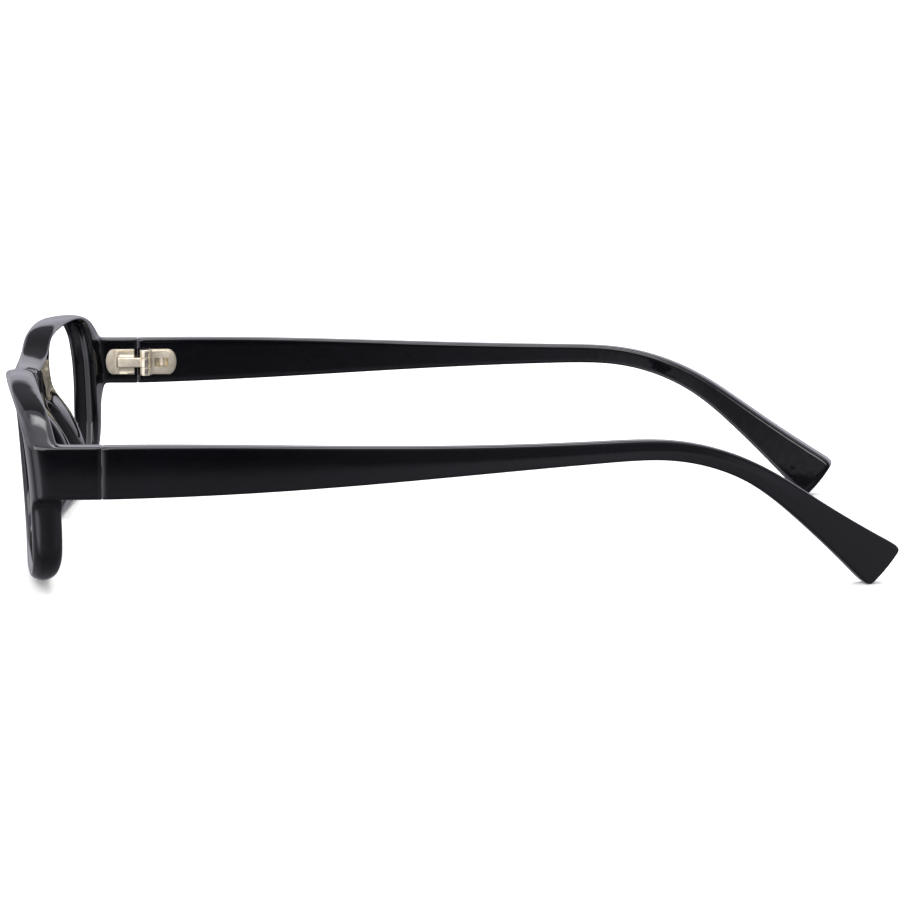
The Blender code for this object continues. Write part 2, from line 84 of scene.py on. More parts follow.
# The lens opening, a superellipse that is wider at the top.
LENS_CENTRE = (37.0, 19.5)
LENS_HALF_SIZE = (22.4, 16.1)
LENS_POWER = 3.95
LENS_TAPER = 0.106

# The end piece (the lug that carries the hinge) and the temple's butt end have one cross-section.
LUG_TOP = 29.4
LUG_BOTTOM = 20.15
LUG_THICKNESS = 4.0
LUG_EDGE = 1.0
LUG_SIDE_EDGE = 1.1
LUG_CROWN = 0.12
LUG_FILLET = 1.3

# Stations round one rim: angle on the lens opening in degrees, then the outer outline's x and z.
# They run from under the lug, over the brow, down the nose and back along the bottom.
LUG_STATIONS = [
    (0, HALF_WIDTH, LUG_BOTTOM),
    (4, HALF_WIDTH, LUG_BOTTOM + LUG_EDGE),
    (10, HALF_WIDTH, (LUG_TOP + LUG_BOTTOM) / 2),
    (22, HALF_WIDTH, LUG_TOP - LUG_EDGE),
    (27, HALF_WIDTH, LUG_TOP),
]
BROW_STATIONS = [
    (32, 66.0, 30.9),
    (43, 63.0, 33.9),
    (56, 56.8, 35.7),
    (72, 47.3, 36.5),
    (90, 36.0, 37.6),
    (107, 25.2, 36.9),
    (119, 19.5, 35.7),
    (131, 13.5, 34.2),
]
BRIDGE_STATIONS = [
    (145, 0.0, 33.3),
    (157, 0.0, 30.8),
    (169, 0.0, 27.4),
]
BRIDGE_MIDDLE_Z = 29.0
NOSE_STATIONS = [
    (178, 6.8, 23.7),
    (190, 7.7, 16.8),
    (204, 10.4, 9.5),
    (219, 13.6, 3.6),
]
BOTTOM_STATIONS = [
    (236, 19.4, 0.6),
    (253, 26.0, -0.1),
    (270, 35.0, 0.0),
    (288, 46.0, 1.3),
    (306, 54.2, 3.6),
    (322, 59.4, 7.6),
    (337, 62.2, 13.0),
    (348, 63.1, 17.5),
    (356, 64.8, 19.6),
]

# Nose pads, moulded on the back of the rims: each swells backwards round this height.
PAD_REACH = 6.7
PAD_CENTRE = (11.0, 16.5)
PAD_HALF_SPAN = 9.4
PAD_WIDTH = 7.1

# Temples: a straight arm that tapers, bends down behind the ear and flares into a paddle tip.
TEMPLE_LENGTH = 147.0
TEMPLE_RISE = 0.0253
TEMPLE_SAG = 0.25
TEMPLE_TAPER_POWER = 1.15
BEND_START = 93.8
BEND_RADIUS = 40.8
BEND_ANGLE = math.radians(39.7)
TEMPLE_THICKNESS = 4.0
TEMPLE_MID_THICKNESS = 3.0
NECK_AT = 103.8
NECK_HALF_HEIGHT = 1.76
TIP_HALF_HEIGHT = 4.75
TIP_FLARE_POWER = 2.34
TIP_INWARD = 22.5
INWARD_START = 24.1
INWARD_POWER = 1.77
TIP_BOW = 0.34
TIP_CORNER = 0.9
TIP_END_LENGTH = 1.0
TEMPLE_STATIONS = [0, 10, 25, 42, 58, 72, 85, 93, 99, 105, 111, 117, 123, 130, 137, 142.5, 146, TEMPLE_LENGTH]

# Hinges. x is measured inboard from the lug's inner face, y from the joint plane, z from the hinge's middle.
HINGE_Z = 24.7
HINGE_HEIGHT = 5.2
PIN_Y = 1.7
PIN_INBOARD = 1.4
BARREL_RADIUS = 1.1
CENTRE_BARREL_HEIGHT = 1.9
BARREL_GAP = 0.05
BORE_RADIUS = 0.67
SCREW_RADIUS = 0.6
SCREW_HEAD_RADIUS = 0.85
SCREW_HEAD_HEIGHT = 0.5
LEAF_NOSE_DEPTH = 1.6
LEAF_SET_IN = 0.6
LEAF_PROUD = 0.45
LEAF_SEAT_GAP = 0.15
BLOCK_PROUD = 1.0
ARM_PROUD = 1.75
WINDOW_LENGTH = 2.9
WINDOW_HEIGHT = 1.8
ROUND_STEPS = 24


def world(x, y, z):
    """A point given in the frame's own millimetres, in scene metres."""
    return Vector((x * MM, (y + ORIGIN_Y) * MM, (z - FOOT_TRIM) * MM))


def face_y(x, z):
    """The front face's y at a point of the front view."""
    wrap = x * x / (2 * WRAP_RADIUS)
    arch = BRIDGE_ARCH * math.exp(-((x / BRIDGE_ARCH_WIDTH) ** 2))
    rise = z - FACE_LEVEL_Z
    lean = FACE_TILT * rise + BROW_LEAN * (max(0.0, rise) / BROW_HEIGHT) ** 2
    towards_nose = 1 - LEAN_EASE * min(1.0, x / HALF_WIDTH)
    return FACE_Y + wrap - arch - lean * towards_nose


def lens_edge(degrees):
    """A point (x, z) of the lens opening."""
    angle = math.radians(degrees)
    across = math.copysign(abs(math.cos(angle)) ** (2 / LENS_POWER), math.cos(angle))
    up = math.copysign(abs(math.sin(angle)) ** (2 / LENS_POWER), math.sin(angle))
    width = LENS_HALF_SIZE[0] * (1 + LENS_TAPER * up)
    return Vector((LENS_CENTRE[0] + width * across, LENS_CENTRE[1] + LENS_HALF_SIZE[1] * up))


def turned(vector):
    """A front-view direction turned by a quarter, which faces into the material from the outer outline."""
    return Vector((-vector.y, vector.x)).normalized()


def pad_swell(x, z):
    """How far the nose pad stands behind the rim's back at a point of the front view."""
    across = math.exp(-(((x - PAD_CENTRE[0]) / PAD_WIDTH) ** 2))
    up = max(0.0, 1 - ((z - PAD_CENTRE[1]) / PAD_HALF_SPAN) ** 2)
    return PAD_REACH * across * up * up * (3 - 2 * up)


def crowned(z):
    """How far a slightly domed outer face falls away at a height of the end piece."""
    middle = (LUG_TOP + LUG_BOTTOM) / 2
    return LUG_CROWN * min(1.0, abs(z - middle) / (LUG_TOP - middle - LUG_EDGE))


def lowness(z):
    """0 above the rim's bottom part, 1 at its lowest: there the rim is thinner and rounder."""
    return max(0.0, 1 - max(0.0, z) / BOTTOM_HEIGHT)


def rim_section(index, stations):
    """The rim's cross-section at a station, from the lens opening's front lip and round the rim."""
    degrees, outer_x, outer_z = stations[index]
    before = stations[index - 1]
    after = stations[(index + 1) % len(stations)]
    lens = lens_edge(degrees)
    from_lens = turned(lens_edge(degrees - 3) - lens_edge(degrees + 3))
    outer = Vector((outer_x, outer_z))
    inward = turned(Vector(after[1:]) - Vector(before[1:]))
    if outer_x == 0:
        inward = Vector((0, -1)) if outer_z > BRIDGE_MIDDLE_Z else Vector((0, 1))
    wall = (lens - outer).dot(inward)
    lip = lens + from_lens * min(RIM_EDGE, EDGE_SHARE * wall)
    if outer_x == HALF_WIDTH:
        inward = Vector((-1, 0))
        lip = lens + from_lens * RIM_EDGE
        outer_edge = LUG_SIDE_EDGE
        shoulder = outer + inward * LUG_SIDE_EDGE
        outer = outer + inward * crowned(outer.y)
        rear_a = shoulder + inward * (LUG_THICKNESS - LUG_SIDE_EDGE)
        rear_b = shoulder + inward * (LUG_THICKNESS - 2 * LUG_SIDE_EDGE)
    else:
        outer_edge = OUTER_EDGE + BOTTOM_ROUNDING * lowness(outer_z)
        shoulder = outer + inward * min(OUTER_EDGE, EDGE_SHARE * wall)
        rear_a, rear_b = (shoulder.lerp(lip, share) for share in REAR_SHARES)
    depth_here = RIM_DEPTH - BOTTOM_THINNING * lowness(outer_z)
    middle = depth_here / 2
    flat = [
        (lens, RIM_EDGE),
        (lip, 0),
        (shoulder, 0),
        (outer, outer_edge),
        (outer, depth_here - outer_edge),
        (shoulder, depth_here),
        (rear_b, depth_here),
        (rear_a, depth_here),
        (lip, depth_here),
        (lens, depth_here - RIM_EDGE),
        (lens, middle + GROOVE_HALF_WIDTH),
        (lens + from_lens * GROOVE_DEPTH, middle),
        (lens, middle - GROOVE_HALF_WIDTH),
    ]
    points = []
    for place, depth in flat:
        behind = pad_swell(place.x, place.y) if depth > middle + GROOVE_HALF_WIDTH else 0
        points.append(world(place.x, face_y(place.x, place.y) + depth + behind, place.y))
    return points


def extruded(cage, faces):
    """Extrudes a patch of faces in place and returns the new faces; the old ones are removed."""
    grown = bmesh.ops.extrude_face_region(cage, geom=faces)["geom"]
    bmesh.ops.delete(cage, geom=faces, context="FACES_KEEP_BOUNDARY")
    return [item for item in grown if isinstance(item, bmesh.types.BMFace)]


def front_cage():
    """The control cage of the front's +X half."""
    stations = LUG_STATIONS + BROW_STATIONS + BRIDGE_STATIONS + NOSE_STATIONS + BOTTOM_STATIONS
    cage = bmesh.new()
    crease = cage.edges.layers.float.new("crease_edge")
    rings = [[cage.verts.new(p) for p in rim_section(i, stations)] for i in range(len(stations))]
    outer_wall = (2, 3, 4)
    lug_back = (4, 5, 6)
    to_extrude = []
    for i, station in enumerate(stations):
        j = (i + 1) % len(stations)
        across_bridge = station[1] == 0 and stations[j][1] == 0
        along_lug = station[1] == HALF_WIDTH and stations[j][1] == HALF_WIDTH
        for k in range(RIM_POINTS):
            if across_bridge and k in outer_wall:
                continue
            n = (k + 1) % RIM_POINTS
            face = cage.faces.new((rings[i][k], rings[i][n], rings[j][n], rings[j][k]))
            if along_lug and k in lug_back:
                to_extrude.append(face)
    neck_faces = extruded(cage, to_extrude)
    for vert in {vert for face in neck_faces for vert in face.verts}:
        vert.co.y += LUG_FILLET * MM
    butt_faces = extruded(cage, neck_faces)
    butt_y = (ORIGIN_Y - JOINT_GAP / 2) * MM
    for vert in {vert for face in butt_faces for vert in face.verts}:
        vert.co.y = butt_y
    for face in butt_faces:
        for edge in face.edges:
            if any(other not in butt_faces for other in edge.link_faces):
                edge[crease] = BUTT_CREASE
    loose = [vert for vert in cage.verts if not vert.link_faces]
    bmesh.ops.delete(cage, geom=loose, context="VERTS")
    return cage


def temple_centre(s):
    """The temple's middle line at arc length s: (y, z, direction angle in the side view)."""
    start_z = (LUG_TOP + LUG_BOTTOM) / 2
    rise = math.atan(TEMPLE_RISE)
    straight = min(s, BEND_START)
    y = straight * math.cos(rise)
    z = start_z + straight * math.sin(rise) - TEMPLE_SAG * math.sin(math.pi * straight / BEND_START)
    if s <= BEND_START:
        return y, z, rise
    turned_by = min((s - BEND_START) / BEND_RADIUS, BEND_ANGLE)
    y += BEND_RADIUS * (math.sin(turned_by - rise) + math.sin(rise))
    z -= BEND_RADIUS * (math.cos(rise) - math.cos(turned_by - rise))
    left = max(0.0, s - BEND_START - BEND_RADIUS * BEND_ANGLE)
    heading = rise - turned_by
    return y + left * math.cos(heading), z + left * math.sin(heading), heading


def temple_inward(s):
    """How far the temple has curved in towards the head at arc length s."""
    along = max(0.0, s - INWARD_START) / (TEMPLE_LENGTH - INWARD_START)
    return TIP_INWARD * along**INWARD_POWER


def temple_half_height(s):
    if s < NECK_AT:
        blend = ((1 + math.cos(math.pi * s / NECK_AT)) / 2) ** TEMPLE_TAPER_POWER
        return NECK_HALF_HEIGHT + ((LUG_TOP - LUG_BOTTOM) / 2 - NECK_HALF_HEIGHT) * blend
    flare = ((s - NECK_AT) / (TEMPLE_LENGTH - NECK_AT)) ** TIP_FLARE_POWER
    return NECK_HALF_HEIGHT + (TIP_HALF_HEIGHT - NECK_HALF_HEIGHT) * flare


def temple_thickness(s):
    sag = math.sin(math.pi * min(s / TEMPLE_LENGTH, 1.0))
    return TEMPLE_THICKNESS - (TEMPLE_THICKNESS - TEMPLE_MID_THICKNESS) * sag


def temple_point(side, s, inboard, height):
    """A point of the temple: arc length, distance inboard of its outer face, height above its middle line."""
    y, z, heading = temple_centre(s)
    swing = math.atan(temple_inward(s + 0.5) - temple_inward(s - 0.5))
    ahead = -height * math.sin(heading) - inboard * math.sin(swing) * math.cos(heading)
    x = HALF_WIDTH - temple_inward(s) - inboard * math.cos(swing)
    return world(side * x, y + ahead, z + height * math.cos(heading))


def end_share(s):
    """0 along the temple, rising to 1 at the very end of its tip."""
    return max(0.0, 1 - (TEMPLE_LENGTH - s) / TIP_END_LENGTH)


def temple_section(s):
    """The section's columns, as distances inboard of the outer face, and its rows, as heights."""
    thick = temple_thickness(s)
    half = temple_half_height(s) - TIP_CORNER * end_share(s)
    edge = min(LUG_EDGE, 0.5 * half)
    columns = [0.0, LUG_SIDE_EDGE, thick - LUG_SIDE_EDGE, thick]
    rows = [-half, -half + edge, 0.0, half - edge, half]
    return columns, rows


def temple_cage(side):
    cage = bmesh.new()
    crease = cage.edges.layers.float.new("crease_edge")
    grids = []
    for s in TEMPLE_STATIONS:
        columns, rows = temple_section(s)
        grid = []
        for row, height in enumerate(rows):
            line = []
            for column, inboard in enumerate(columns):
                at_rim = row in (0, 4) or column in (0, 3)
                on_end_face = s in (0, TEMPLE_LENGTH)
                if not at_rim and not on_end_face:
                    line.append(None)
                    continue
                trim = end_share(s) * TIP_BOW * (height / rows[-1]) ** 2
                crown = LUG_CROWN if column == 0 and row != 2 else 0.0
                point = temple_point(side, s - trim, inboard + crown, height)
                if s == 0:
                    point.y = (ORIGIN_Y + JOINT_GAP / 2) * MM
                line.append(cage.verts.new(point))
            grid.append(line)
        grids.append(grid)
    rim = [(0, c) for c in range(4)] + [(r, 3) for r in range(1, 5)]
    rim += [(4, c) for c in (2, 1, 0)] + [(r, 0) for r in (3, 2, 1)]
    for near, far in zip(grids, grids[1:]):
        for (r0, c0), (r1, c1) in zip(rim, rim[1:] + rim[:1]):
            cage.faces.new((near[r0][c0], near[r1][c1], far[r1][c1], far[r0][c0]))
    for grid in (grids[0], grids[-1]):
        for r in range(4):
            for c in range(3):
                cage.faces.new((grid[r][c], grid[r][c + 1], grid[r + 1][c + 1], grid[r + 1][c]))
    butt = grids[0]
    for (r0, c0), (r1, c1) in zip(rim, rim[1:] + rim[:1]):
        cage.edges.get((butt[r0][c0], butt[r1][c1]))[crease] = BUTT_CREASE
    return cage


def hinge_point(side, inboard, y, height):
    return world(side * (HALF_WIDTH - LUG_THICKNESS - inboard), y, HINGE_Z + height)


def slab(side, outline, low, high):
    """A prism with an outline of (y, height) points, which spans low to high inboard of the lug's inner face."""
    solid = bmesh.new()
    lower = [solid.verts.new(hinge_point(side, low, y, height)) for y, height in outline]
    upper = [solid.verts.new(hinge_point(side, high, y, height)) for y, height in outline]
    solid.faces.new(lower)
    solid.faces.new(upper)
    for k in range(len(outline)):
        n = (k + 1) % len(outline)
        solid.faces.new((lower[k], lower[n], upper[n], upper[k]))
    return solid


def barrel(side, radius, low, high, sides=ROUND_STEPS):
    """An upright cylinder on the pin's axis, between two heights."""
    solid = bmesh.new()
    rings = []
    for height in (low, high):
        ring = []
        for k in range(sides):
            angle = 2 * math.pi * (k + 0.5) / sides
            ring.append(solid.verts.new(hinge_point(
                side,
                PIN_INBOARD + radius * math.cos(angle),
                PIN_Y + radius * math.sin(angle),
                height,
            )))
        rings.append(ring)
    solid.faces.new(rings[0])
    solid.faces.new(rings[1])
    for k in range(sides):
        n = (k + 1) % sides
        solid.faces.new((rings[0][k], rings[0][n], rings[1][n], rings[1][k]))
    return solid


def round_nosed(start, end, half_height, steps=8):
    """A plate outline in (y, height) that is square at start and ends in a shallow round nose."""
    reach = LEAF_NOSE_DEPTH if end > start else -LEAF_NOSE_DEPTH
    centre = end - reach
    points = [(start, -half_height)]
    for k in range(steps + 1):
        angle = math.pi * (k / steps - 0.5)
        points.append((centre + reach * math.cos(angle), half_height * math.sin(angle)))
    points.append((start, half_height))
    return points


def rectangle(y0, y1, z0, z1):
    return [(y0, z0), (y1, z0), (y1, z1), (y0, z1)]


HALF_HINGE = HINGE_HEIGHT / 2
FRONT_LEAF_NOSE = -6.5
FRONT_LEAF_BACK = -0.6
BLOCK_START = -4.5
ARM_START = -4.0
TEMPLE_LEAF_TAIL = 8.0
TEMPLE_LEAF_FRONT = 1.8
WINDOW_START = 3.5
HEAD_ROOM = 0.07
SLOT_HALF_WIDTH = 0.15
SLOT_DEPTH = 0.25
OVERSHOOT = 1.0

# How finely the plastic is subdivided, and the angle above which an edge stays sharp.
FRONT_LEVELS = 3
TEMPLE_LEVELS = 3
PLASTIC_SHARP_ANGLE = 40
METAL_SHARP_ANGLE = 32

# Camera: where it stands in metres, and how it is turned in radians.
CAMERA_LOCATION = (0.7113, -0.0233, 0.1400)
CAMERA_YAW = 0.0349
CAMERA_PITCH = 0.1712
CAMERA_ROLL = 0.0030
CAMERA_LENS = 151.7

# The plastic's surface: its tones, how fine each layer of noise is per metre, and the relief's share and depth.
ACETATE_DARK = (0.0012, 0.0012, 0.0018)
ACETATE_LIGHT = (0.0018, 0.0018, 0.0028)
ACETATE_IOR = 1.49
MOTTLE_SCALE = 90.0
HAZE_SCALE = 260.0
HAZE_ROUGHNESS = (0.035, 0.085)
PEEL_SCALE = 420.0
PEEL_RELIEF = (0.035, 0.0004)
HAIRLINE_STRETCH = (2600, 160, 2600)
HAIRLINE_RELIEF = (0.02, 0.00002)
METAL_TONE_SCALE = 900.0
METAL_GRAIN_DEPTH = 0.00002
FLOOR_COLOUR = (0.97, 0.97, 0.97, 1)
FLOOR_ROUGHNESS = 0.9

# Detail of the hinges, in millimetres. A cutter that opens a top face ends at CUTTER_TOP.
FINE_EDGE = 0.08
KNUCKLE_SIDES = 48
NOSE_STEPS = 24
SEAT_CUTTER_TOP = 2.0
CUTTER_TOP = 3.0

SHOULDER_OUTLINE = [
    (BLOCK_START, -2.42),
    (-2.2, -2.42),
    (-1.9, -2.2),
    (FRONT_LEAF_BACK - 0.1, -2.1),
    (FRONT_LEAF_BACK - 0.1, 2.3),
    (-2.0, 2.42),
    (BLOCK_START, 2.42),
]
SHOULDER_BASE = -LEAF_SET_IN + 0.15
SHOULDER_PROUD = BLOCK_PROUD + 0.2
SHOULDER_MIDDLE = 1.75
TROUGH_RADIUS = 1.0
TROUGH_DEPTH = 0.3
TROUGH_START = BLOCK_START + 0.75
LANE_START = BLOCK_START + 0.25
LANE_FLOOR = LEAF_PROUD - 0.15
SEAM = 0.07
UPPER_PLATE_BASE = 0.1

FLANGE_PROUD = 0.3
STEP_START = PIN_Y + 0.75
STEP_WIDTH = 0.25
STEP_TRIM = 0.2
FOOT_LENGTH = 1.3
FOOT_INSET = 0.1
FOOT_TRIM_EACH_END = 0.02
RECESS_FLOOR = 1.75
RECESS_START = PIN_Y - 0.05
RECESS_END = PIN_Y + 0.85
RECESS_BORDER = 0.15
OUTER_RECESS_BORDERS = (0.35, 0.2)
KNUCKLE_ROOM = 0.12

WINDOW_FLOOR = -0.45
TAB_STEPS = 10
TAB_RISE = 0.8
TAB_START = WINDOW_START + 0.75
TAB_LENGTH = WINDOW_LENGTH - 0.85
TAB_END = WINDOW_START + WINDOW_LENGTH - 0.1
TAB_BASE = WINDOW_FLOOR - 0.05
TAB_SIDE_GAP = 0.12
TAB_ARC_START = 0.12
TAB_ARC_SHARE = 0.80

SHANK_BOTTOM_GAP = 0.1
SHANK_TOP_GAP = 0.2
SCREW_HEAD_RISE = 0.1
SCREW_HEAD_TRIM = 0.02

# Each metal: its darker and lighter tone, its range of roughness, its grain along x, y and z, and its relief.
NICKEL = (((0.75, 0.67, 0.51), (0.91, 0.84, 0.69)), (0.42, 0.56), (1500, 260, 1500), 0.25)
STEEL = (((0.46, 0.45, 0.43), (0.66, 0.65, 0.62)), (0.2, 0.38), (900, 900, 4200), 0.3)

# What the gloss reflects, as colour ramp stops. Three run from straight down to straight up: behind the frame
# (-X), in front of it (the camera's side) and at its flanks. The forward and sideward stops share the round
# between them, and the aside stops, from -Y to +Y, brighten the camera's side away from its middle.
REFLECTED_STRENGTH = 2.5
SURROUND_STRENGTH = 1.35
DAYLIGHT = (0.96, 0.95, 1.06)
BEHIND_STOPS = (
    (0.0, 0.06), (0.25, 0.06), (0.42, 0.18), (0.5, 0.22), (0.53, 0.25),
    (0.57, 0.36), (0.640, 0.38), (0.655, 0.06), (0.842, 0.06), (0.852, 0.26), (0.93, 0.34), (1.0, 0.9),
)
IN_FRONT_STOPS = (
    (0.0, 0.09), (0.30, 0.10), (0.35, 0.15), (0.39, 0.11), (0.415, 0.055), (0.44, 0.005), (0.5, 0.005),
    (0.60, 0.03), (0.80, 0.10), (0.90, 0.3), (1.0, 0.9),
)
ASIDE_STOPS = (
    (0.0, 0.5), (0.22, 0.80), (0.27, 0.45), (0.33, 0.08), (0.42, 0.02), (0.5, 0.0), (0.67, 0.06),
    (0.8, 0.09), (1.0, 0.12),
)
FLANK_STOPS = ((0.0, 0.12), (0.3, 0.16), (0.45, 0.22), (0.5, 0.6), (0.8, 0.8), (1.0, 0.88))
FORWARD_STOPS = ((0.50, 0.0), (0.66, 1.0))
SIDEWARD_STOPS = ((0.22, 0.0), (0.30, 0.30), (0.60, 0.5), (0.75, 1.0))

# Softboxes, in metres and watts. The top ones are nested, so that their light fades towards the edge.
TOP_LIGHT_PLACE = (-0.40, 0.03)
TOP_LIGHT_HEIGHT = 1.3
TOP_LIGHT_TARGET = (0.0, -0.03, 0.02)
TOP_LIGHT_WIDTHS = (0.45, 0.62, 0.80)
TOP_LIGHT_RADIANCE = 1.9
HINGE_LIGHT_PLACE = (0.9, -0.5, 0.75)
HINGE_LIGHT_TARGET = (0.0, 0.0, 0.02)
HINGE_LIGHT_WIDTH = 0.8
HINGE_LIGHT_POWER = 8.0
FLOOR_HALF_WIDTH = 30.0


# ---------------------------------------------------------------- pieces


def new_object(name, mesh_data):
    bmesh.ops.recalc_face_normals(mesh_data, faces=mesh_data.faces)
    mesh = bpy.data.meshes.new(name)
    mesh_data.to_mesh(mesh)
    mesh_data.free()
    mesh.shade_smooth()
    obj = bpy.data.objects.new(name, mesh)
    bpy.context.scene.collection.objects.link(obj)
    return obj


def evaluated(obj):
    """Applies an object's modifiers and leaves a plain mesh."""
    graph = bpy.context.evaluated_depsgraph_get()
    result = obj.evaluated_get(graph)
    mesh = bpy.data.meshes.new_from_object(result, preserve_all_data_layers=True, depsgraph=graph)
    old = obj.data
    obj.modifiers.clear()
    obj.data = mesh
    bpy.data.meshes.remove(old)
    return obj


def subdivided(obj, levels):
    modifier = obj.modifiers.new("subdivision", "SUBSURF")
    modifier.levels = levels
    modifier.render_levels = levels
    return evaluated(obj)


def cut(obj, operation, solid):
    """Booleans obj with a bmesh solid, which is used up."""
    other = new_object("cutter", solid)
    modifier = obj.modifiers.new("boolean", "BOOLEAN")
    modifier.operation = operation
    modifier.solver = "EXACT"
    modifier.object = other
    evaluated(obj)
    mesh = other.data
    bpy.data.objects.remove(other)
    bpy.data.meshes.remove(mesh)
    return obj


def smooth_by_angle(obj, degrees):
    obj.data.shade_smooth()
    obj.data.set_sharp_from_angle(angle=math.radians(degrees))


def dressed(obj, finish, body, record_slot, *nodes):
    """Gives a piece its material, its body and the CAD nodes it stands for. record_slot is not used."""
    obj.data.materials.clear()
    obj.data.materials.append(finish)
    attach(obj, body)
    if nodes:
        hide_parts(*nodes)
    return obj


def seat(side, start, end):
    depth = LEAF_SET_IN + LEAF_SEAT_GAP
    return slab(side, round_nosed(start, end, HALF_HINGE + LEAF_SEAT_GAP), -depth, SEAT_CUTTER_TOP)


def make_front(finish):
    front = new_object("front_frame_polished", front_cage())
    mirror = front.modifiers.new("mirror", "MIRROR")
    mirror.use_axis = (True, False, False)
    mirror.merge_threshold = 0.00001
    mirror.use_clip = True
    subdivided(front, FRONT_LEVELS)
    block = bmesh.new()
    bmesh.ops.create_cube(block, size=4 * HALF_WIDTH * MM)
    bmesh.ops.translate(block, verts=block.verts, vec=(0, 0, -2 * HALF_WIDTH * MM))
    cut(front, "DIFFERENCE", block)
    for side in SIDES.values():
        cut(front, "DIFFERENCE", seat(side, OVERSHOOT, FRONT_LEAF_NOSE - LEAF_SEAT_GAP))
    smooth_by_angle(front, PLASTIC_SHARP_ANGLE)
    return dressed(front, finish, "front", "black_plastic", "front_frame")


def make_temple(name, side, finish):
    temple = new_object("temple_%s_polished" % name, temple_cage(side))
    subdivided(temple, TEMPLE_LEVELS)
    cut(temple, "DIFFERENCE", seat(side, -OVERSHOOT, TEMPLE_LEAF_TAIL + LEAF_SEAT_GAP))
    smooth_by_angle(temple, PLASTIC_SHARP_ANGLE)
    return dressed(temple, finish, name + "_temple", "black_plastic", "temple_" + name)


def round_edges(solid, edges, width, **options):
    bmesh.ops.bevel(
        solid, geom=edges, offset=width * MM, segments=3, profile=0.5, affect="EDGES", **options
    )


def level_edges(solid):
    """The edges of an upright cylinder's two ends."""
    return [edge for edge in solid.edges if abs(edge.verts[0].co.z - edge.verts[1].co.z) < 0.1 * MM]


def bevelled(solid, width):
    """Rounds every edge of a small metal solid."""
    round_edges(solid, list(solid.edges), width, clamp_overlap=True)
    return solid


def pillar(side, outline, low, high):
    """An upright prism whose outline is (inboard, y) points and which spans two heights."""
    solid = bmesh.new()
    lower = [solid.verts.new(hinge_point(side, inboard, y, low)) for inboard, y in outline]
    upper = [solid.verts.new(hinge_point(side, inboard, y, high)) for inboard, y in outline]
    solid.faces.new(lower)
    solid.faces.new(upper)
    for k in range(len(outline)):
        n = (k + 1) % len(outline)
        solid.faces.new((lower[k], lower[n], upper[n], upper[k]))
    bmesh.ops.recalc_face_normals(solid, faces=solid.faces)
    return solid


def trough(side, start, end, inboard, height):
    """A round rod along y, which hollows a shoulder out."""
    solid = bmesh.new()
    rings = []
    for y in (start, end):
        ring = []
        for k in range(KNUCKLE_SIDES):
            angle = 2 * math.pi * k / KNUCKLE_SIDES
            ring.append(solid.verts.new(hinge_point(
                side, inboard + TROUGH_RADIUS * math.cos(angle), y, height + TROUGH_RADIUS * math.sin(angle)
            )))
        rings.append(ring)
    solid.faces.new(rings[0])
    solid.faces.new(rings[1])
    for k in range(KNUCKLE_SIDES):
        n = (k + 1) % KNUCKLE_SIDES
        solid.faces.new((rings[0][k], rings[0][n], rings[1][n], rings[1][k]))
    return solid


def knuckle(side, low, high):
    solid = barrel(side, BARREL_RADIUS, low, high, KNUCKLE_SIDES)
    bmesh.ops.recalc_face_normals(solid, faces=solid.faces)
    round_edges(solid, level_edges(solid), FINE_EDGE)
    return solid


def plate_solid(side, outline, low, high, edge):
    solid = slab(side, outline, low, high)
    bmesh.ops.recalc_face_normals(solid, faces=solid.faces)
    return bevelled(solid, edge)


def make_front_leaf(name, side, finish):
    """A set-in plate, two hollowed shoulders, and between them the arm that ends in the middle knuckle."""
    nose = round_nosed(FRONT_LEAF_BACK, FRONT_LEAF_NOSE, HALF_HINGE, NOSE_STEPS)
    plate = plate_solid(side, nose, -LEAF_SET_IN, LEAF_PROUD, FINE_EDGE)
    leaf = new_object("hinge_front_leaf_%s_fine" % name, plate)
    cut(leaf, "UNION", plate_solid(side, SHOULDER_OUTLINE, SHOULDER_BASE, SHOULDER_PROUD, FINE_EDGE))
    trough_middle = SHOULDER_PROUD + TROUGH_RADIUS - TROUGH_DEPTH
    for height in (SHOULDER_MIDDLE, -SHOULDER_MIDDLE):
        cut(leaf, "DIFFERENCE", trough(side, TROUGH_START, 0.0, trough_middle, height))
    arm_half = CENTRE_BARREL_HEIGHT / 2
    lane = rectangle(LANE_START, 0.0, -arm_half - SEAM, arm_half + SEAM)
    cut(leaf, "DIFFERENCE", slab(side, lane, LANE_FLOOR, CUTTER_TOP))
    arm = rectangle(ARM_START, PIN_Y, -arm_half, arm_half)
    cut(leaf, "UNION", plate_solid(side, arm, UPPER_PLATE_BASE, ARM_PROUD, 2 * FINE_EDGE))
    cut(leaf, "UNION", knuckle(side, -arm_half, arm_half))
    cut_recess(leaf, side, -arm_half + RECESS_BORDER, arm_half - RECESS_BORDER)
    cut(leaf, "DIFFERENCE", barrel(side, BORE_RADIUS, -HALF_HINGE, HALF_HINGE, KNUCKLE_SIDES))
    smooth_by_angle(leaf, METAL_SHARP_ANGLE)
    return dressed(leaf, finish, "front", "hinge_nickel", "hinge_front_leaf_" + name)


def cut_recess(leaf, side, low, high):
    """The shallow recess in the inboard side of a knuckle."""
    recess = rectangle(RECESS_START, RECESS_END, low, high)
    cut(leaf, "DIFFERENCE", slab(side, recess, RECESS_FLOOR, CUTTER_TOP))


